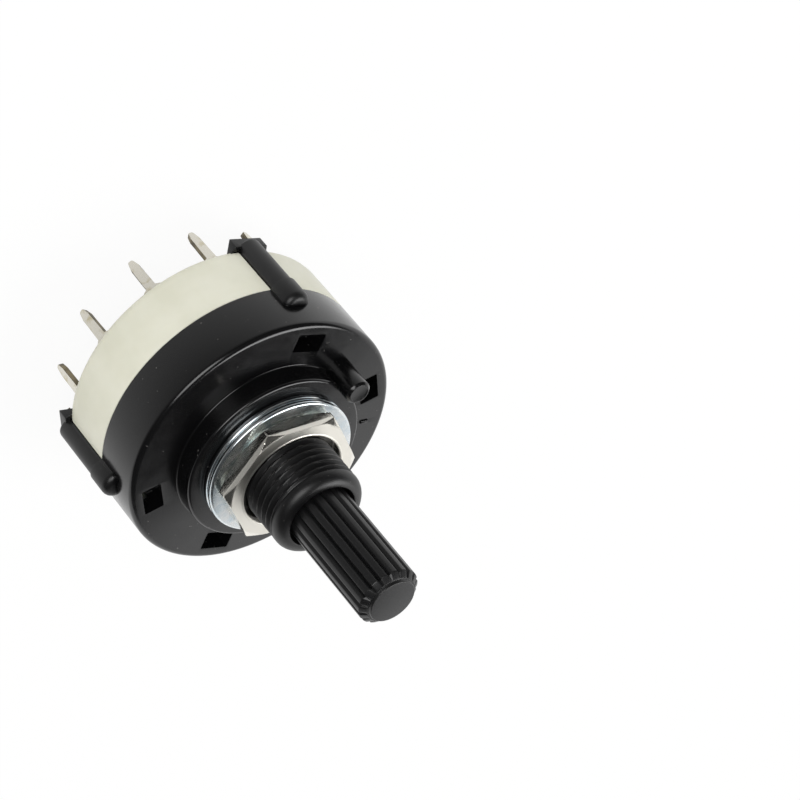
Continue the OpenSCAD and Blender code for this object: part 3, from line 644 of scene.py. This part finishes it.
rows = int((thread_to - thread_from) / pitch * rows_per_turn)
thread_rows = [(bushing_r, thread_from + (thread_to - thread_from) * k / rows)
               for k in range(rows + 1)]
outside = rounded([
    (crest_r, plate_z, 0), (crest_r, seam_z, 0), (moat_in, seam_z, 0), (moat_in, plate_z, 0),
    (moat_out, plate_z, 0), (moat_out, seam_z, 0), (body_r, seam_z, 0.1), (body_r, face_z, 0.5),
    (boss_r, face_z, 0.15), (boss_r, boss_z, 0.25), (bushing_r, boss_z, 0.1),
    (bushing_r, thread_from, 0)], 6)
end = rounded([(bushing_r, thread_to, 0), (bushing_r, dome_top, dome_round),
               (mouth_r, dome_top, 0.1), (mouth_r, mouth_z, 0), (bushing_in, mouth_z, 0),
               (bushing_in, plate_z, 0)], 8)
housing = turned("housing", outside[:-1] + thread_rows + end[1:], 360, housing_shape)
carve(housing,
      all_round(block((stop_in, -stop_half, stop_low), (stop_out, stop_half, stop_high)),
                12, 15),
      *[all_round(block((window_at - window_h / 2, -window_w / 2, plate_z - 0.5),
                        (window_at + window_h / 2, window_w / 2, face_z + 1), 0.12), 2, first)
        for first in (15, 75)])


def snap_arm(half_r, low, high, ends, inside):
    """A half-round bar beside the drum, its rims rounded by ends, its inner side cut flat."""
    bar = turned("bar", rounded([(0, high, 0), (half_r, high, ends[1]), (half_r, low, ends[0]),
                                 (0, low, 0)], 6), 72, None, arm_at)
    cut = bmesh.new()
    cut.from_mesh(bar.data)
    halves = bmesh.ops.bisect_plane(cut, geom=cut.verts[:] + cut.edges[:] + cut.faces[:],
                                    plane_co=(inside * mm, 0, 0), plane_no=(1, 0, 0),
                                    clear_inner=True)
    rim = [e for e in halves["geom_cut"] if isinstance(e, bmesh.types.BMEdge)]
    bmesh.ops.contextual_create(cut, geom=rim)
    bpy.data.objects.remove(bar)
    return new_object("bar", cut)


for first in (arm_first, arm_second):
    rib = snap_arm(rib_r, seam_z, rib_top, (0.03, rib_round), rib_inside)
    arm = snap_arm(arm_r, rear_z + 0.1, seam_z + arm_tuck, (0.3, 0), channel_r + arm_gap)
    hook = block((hook_tip, -hook_half, rear_z + hook_low),
                 (hook_out, hook_half, rear_z + seat_depth - seat_gap), 0.07, flared)
    carve(arm, hook, how="UNION")
    carve(housing, *[all_round(shape, 2, first) for shape in (rib, arm)], how="UNION")
peg = turned("peg", rounded([
    (0, peg_low, 0), (peg_foot_r, peg_low, 0), (peg_face_r, face_z, 0),
    (peg_r, boss_z + 0.1, 0), (peg_r, peg_top - peg_chamfer, 0.06),
    (peg_r - peg_chamfer, peg_top, 0.05), (peg_r - dish_rim, peg_top, 0.03),
    (peg_r - dish_floor, peg_top - dish, 0.02), (0, peg_top - dish, 0)], 4), 64, None, peg_at)
peg.data.transform(Matrix.Rotation(math.radians(peg_angle), 4, "Z"))
mark = block((mark_in, -mark_half, face_z - 0.2), (mark_out, mark_half, mark_top), 0.05)
mark.data.transform(Matrix.Rotation(math.radians(mark_angle), 4, "Z"))
carve(housing, peg, mark, how="UNION")
fasten(housing, "front_shell", "switch_body", black_pbt, ["front_housing"])

# THE STOP RING AND THE WASHER
# Two rings stamped from zinc plated steel. The lower one has a tab bent down into a slot
# of the boss, which sets the number of positions.
ring_r, ring_bore, ring_roll, bore_edge = 7.3, 4.58, 0.42, 0.06
ring_z, ring_t, washer_z, washer_t = 18.1, 0.65, 18.75, 0.6
tab_w, tab_in, tab_out, tab_low, tab_edge, tab_angle = 1.6, 5.85, 6.55, 13.55, 0.08, 135

# Bright zinc plating is bluish, almost a mirror, and clouded by tumbling in the bath.
zinc, tree, shader, where = new_material("bright zinc plated steel", **{"Metallic": 1.0})
cloudy = put(tree, "ShaderNodeTexNoise", {"Scale": 1 / (1.1 * mm), "Detail": 4}, {"Vector": where})
tree.links.new(shades(tree, cloudy.outputs["Fac"], [(0.35, "#D3DEE4"), (0.65, "#EDF0F0")]),
               shader.inputs["Base Color"])
worn = put(tree, "ShaderNodeMapRange", {"To Min": 0.14, "To Max": 0.28},
           {"Value": cloudy.outputs["Fac"]})
tree.links.new(worn.outputs[0], shader.inputs["Roughness"])
fine = put(tree, "ShaderNodeTexNoise", {"Scale": 1 / (0.12 * mm), "Detail": 2}, {"Vector": where})
skin = put(tree, "ShaderNodeBump", {"Strength": 0.3, "Distance": 0.004 * mm},
           {"Height": fine.outputs["Fac"]})
tree.links.new(skin.outputs[0], shader.inputs["Normal"])


def flat_ring(low, thick):
    """A stamped ring on the bushing: rolled over at its outer edge, square at its bore."""
    high = low + thick
    return turned("ring", rounded([
        (6, low, 0), (ring_r, low, thick * ring_roll), (ring_r, high, thick * ring_roll),
        (ring_bore, high, bore_edge), (ring_bore, low, bore_edge), (6, low, 0)], 6)[:-1], 240)


tab = block((tab_in, -tab_w / 2, tab_low), (tab_out, tab_w / 2, ring_z + 0.3), tab_edge)
tab.data.transform(Matrix.Rotation(math.radians(tab_angle), 4, "Z"))
fasten(carve(flat_ring(ring_z, ring_t), tab, how="UNION"), "lower_ring", "switch_body",
       zinc, ["stop_ring"])
fasten(flat_ring(washer_z, washer_t), "upper_ring", "switch_body", zinc,
       ["washer"])

# THE NUT
# A thin nut turned from hexagon bar, 12 mm across the flats, and nickel plated. Chamfers of
# thirty degrees, the rear one deeper, leave lens-shaped flanks that lean in a little near
# the face, and the tap has raised a thin lip at the mouth of the bore.
nut_z, nut_t, nut_flats, nut_angle = 19.35, 1.8, 12.0, -0.5
nut_bore, nut_land, lead_r, lead_h = 4.55, nut_flats / 2 - 0.15, 4.85, 0.3
flank_lean, lean_from, rear_deeper, soft = 0.09, 0.5, 0.2, 0.035
lip = [(5.22, 0), (5.17, 0.03), (5.1, 0.04), (5.02, 0.02), (4.96, -0.05), (nut_bore, -0.4)]

# Nickel over brass is a warm silver mirror, lightly pitted by tumbling. The face that was
# turned last is duller than the drawn flanks.
nickel, tree, shader, where = new_material(
    "nickel plated brass", **{"Metallic": 1.0, "Base Color": linear("#F1EEE5")})
cloudy = put(tree, "ShaderNodeTexNoise", {"Scale": 1 / (0.5 * mm), "Detail": 4}, {"Vector": where})
worn = put(tree, "ShaderNodeMapRange", {"To Min": 0.08, "To Max": 0.2},
           {"Value": cloudy.outputs["Fac"]})
height = put(tree, "ShaderNodeSeparateXYZ", links={0: where}).outputs["Z"]
top_z = nut_z + nut_t
faced = put(tree, "ShaderNodeMapRange", {"From Min": (top_z - 0.1) * mm, "From Max": top_z * mm,
                                         "To Min": 0.0, "To Max": 0.26}, {"Value": height})
dulled = put(tree, "ShaderNodeMath", links={0: worn.outputs[0], 1: faced.outputs[0]})
tree.links.new(dulled.outputs[0], shader.inputs["Roughness"])
pits = put(tree, "ShaderNodeTexNoise", {"Scale": 1 / (0.14 * mm), "Detail": 2}, {"Vector": where})
skin = put(tree, "ShaderNodeBump", {"Strength": 0.5, "Distance": 0.008 * mm},
           {"Height": pits.outputs["Fac"]})
tree.links.new(skin.outputs[0], shader.inputs["Normal"])


def nut_shape(r, z, a):
    """The nut's radius: the nearest of hexagon and chamfer cones, softly joined."""
    if r < nut_land:
        return r
    turn = (a - math.radians(nut_angle) + math.pi / 6) % (math.pi / 3) - math.pi / 6
    flank = nut_flats / 2 / math.cos(math.pi / 6 - abs(turn))
    low, high, slope = z - nut_z, top_z - z, math.tan(math.radians(30))
    flank -= flank_lean * max(0, lean_from - high)
    cone = nut_flats / 2 + min(high / slope + rear_deeper, low / slope - rear_deeper)
    gap = max(soft - abs(flank - cone), 0) / soft
    return min(r, min(flank, cone) - gap * gap * soft / 4)


side = [(8.0, nut_z + nut_t * (0.5 - 0.5 * math.cos(math.pi * k / 36))) for k in range(37)]
nut = turned("nut", [(nut_bore, nut_z + lead_h), (lead_r, nut_z), (nut_land, nut_z)] + side
             + [(nut_land, top_z)] + [(r, top_z + up) for r, up in lip], 360, nut_shape)
fasten(nut, "hexagon_nut", "switch_body", nickel, ["hex_nut"], 24)

# THE STUDIO
# White paper lies under the terminals. Mirrors alone see a painted reflection in the world:
# the paper rising behind the switch as far as an edge, which the front face mirrors, and a
# dark room above it and behind the camera; all other rays see an evenly lit room. In the
# mirrors the paper also carries a painted shade that darkens it towards the camera, in
# place of the shadow of the camera's stand.
paper_glow, room_glow, painted_dark_in_mirrors = 0.93, 0.5, 0.05
azimuth, elevation, roll, lens = 128.882, 34.599, 138.736, 137.9

# A painted shade, seen only in mirrors, dims the paper's glow over shade_length on its way to
# the camera. The painted sheet ends where a ray that climbs along its rise passes from
# edge_low to edge_high.
from_camera, shade_length, shade_left = (0.63, -0.78, 0), 42, 0.15
painted_sheet_rise, edge_low, edge_high = (-0.441, 0.539, 1.0), 0.038, 0.052
paper, tree, shader, where = new_material(
    "matt white paper with painted mirror shade", **{"Base Color": linear("#F4F4F2"), "Roughness": 0.9})
fibres = put(tree, "ShaderNodeTexNoise", {"Scale": 1 / (0.6 * mm), "Detail": 2}, {"Vector": where})
skin = put(tree, "ShaderNodeBump", {"Strength": 0.1, "Distance": 0.01 * mm},
           {"Height": fibres.outputs["Fac"]})
tree.links.new(skin.outputs[0], shader.inputs["Normal"])


def seen_directly(tree):
    """One for a ray that comes from the camera, a mirror or a clear body, else nought."""
    rays = put(tree, "ShaderNodeLightPath").outputs
    seen = put(tree, "ShaderNodeMath", links={0: rays["Is Camera Ray"], 1: rays["Is Glossy Ray"]},
               operation="MAXIMUM").outputs[0]
    return rays, put(tree, "ShaderNodeMath", links={0: seen, 1: rays["Is Transmission Ray"]},
                     operation="MAXIMUM").outputs[0]


rays, seen = seen_directly(tree)
share = put(tree, "ShaderNodeMath", {1: paper_glow}, {0: seen}, operation="MULTIPLY")
back = put(tree, "ShaderNodeVectorMath", {1: from_camera}, {0: where},
           operation="DOT_PRODUCT").outputs["Value"]
# Painted shade: for rays from mirrors the paper's glow falls from full to shade_left towards the
# camera.
painted_mirror_shade = put(tree, "ShaderNodeMapRange", {"From Min": -shade_length * mm, "From Max": 0,
                                       "To Min": shade_left, "To Max": 1.0},
          {"Value": back}).outputs[0]
bright = put(tree, "ShaderNodeMath", links={0: painted_mirror_shade, 1: rays["Is Camera Ray"]},
             operation="MAXIMUM").outputs[0]
glow = put(tree, "ShaderNodeEmission", {"Color": (1, 1, 1, 1)}, {"Strength": bright})
both = put(tree, "ShaderNodeMixShader", links={0: share.outputs[0], 1: shader.outputs[0],
                                               2: glow.outputs[0]})
out = [n for n in tree.nodes if n.type == "OUTPUT_MATERIAL"][0]
tree.links.new(both.outputs[0], out.inputs["Surface"])
sheet = bmesh.new()
bmesh.ops.create_grid(sheet, x_segments=1, y_segments=1, size=3)
floor = new_object("floor", sheet)
floor.data.materials.append(paper)

world = bpy.data.worlds.new("white room with painted reflections")
bpy.context.scene.world = world
world.use_nodes = True
tree = world.node_tree
tree.nodes.clear()
rays, seen = seen_directly(tree)
towards = put(tree, "ShaderNodeTexCoord").outputs["Generated"]
above = put(tree, "ShaderNodeVectorMath", {1: painted_sheet_rise}, {0: towards},
            operation="DOT_PRODUCT").outputs["Value"]
# Painted reflection: mirrors see white up to the sheet's edge and dark above it; other rays see the
# even room_glow.
painted_sheet_edge = put(tree, "ShaderNodeMapRange", {"From Min": edge_low, "From Max": edge_high,
                                              "To Min": 1.0, "To Max": painted_dark_in_mirrors},
                 {"Value": above}, interpolation_type="SMOOTHSTEP").outputs[0]
hidden = put(tree, "ShaderNodeMath", links={0: painted_sheet_edge, 1: rays["Is Camera Ray"]},
             operation="MAXIMUM").outputs[0]
room = put(tree, "ShaderNodeMix", {2: room_glow}, {0: seen, 3: hidden}).outputs[0]
light = put(tree, "ShaderNodeBackground", {"Color": (1, 1, 1, 1)}, {"Strength": room})
put(tree, "ShaderNodeOutputWorld", links={"Surface": light.outputs[0]})


def soft_box(name, direction, distance, size, power):
    """An area lamp that faces the middle of the switch."""
    lamp = bpy.data.lights.new(name, "AREA")
    lamp.shape, lamp.size, lamp.energy = "DISK", size, power
    made = bpy.data.objects.new(name, lamp)
    middle = Vector((0, 0, 0.016))
    made.location = middle + Vector(direction).normalized() * distance
    made.rotation_mode = "QUATERNION"
    made.rotation_quaternion = (middle - made.location).to_track_quat("-Z", "Y")
    bpy.context.scene.collection.objects.link(made)


soft_box("overhead", (0.5, -0.15, 0.9), 0.55, 0.35, 1.5)
soft_box("fill", (-0.6, 0.65, 0.75), 0.6, 0.4, 1.6)

# The camera stands where the photograph was taken from, and is rolled as that one was held.
camera = bpy.data.objects.new("camera", bpy.data.cameras.new("camera"))
bpy.context.scene.collection.objects.link(camera)
bpy.context.scene.camera = camera
camera.data.sensor_width = 36
camera.data.lens = lens
camera.data.clip_start = 0.01
camera.rotation_mode = "QUATERNION"
aim = Matrix.Identity(3)
for degrees, axis in ((azimuth + 90, "Z"), (90 - elevation, "X"), (roll, "Z")):
    aim = aim @ Matrix.Rotation(math.radians(degrees), 3, axis)
camera.rotation_quaternion = aim.to_quaternion()
camera.location = (-0.13010, 0.18012, 0.17535)
bpy.context.scene.view_settings.view_transform = "Standard"

bpy.context.view_layer.update()
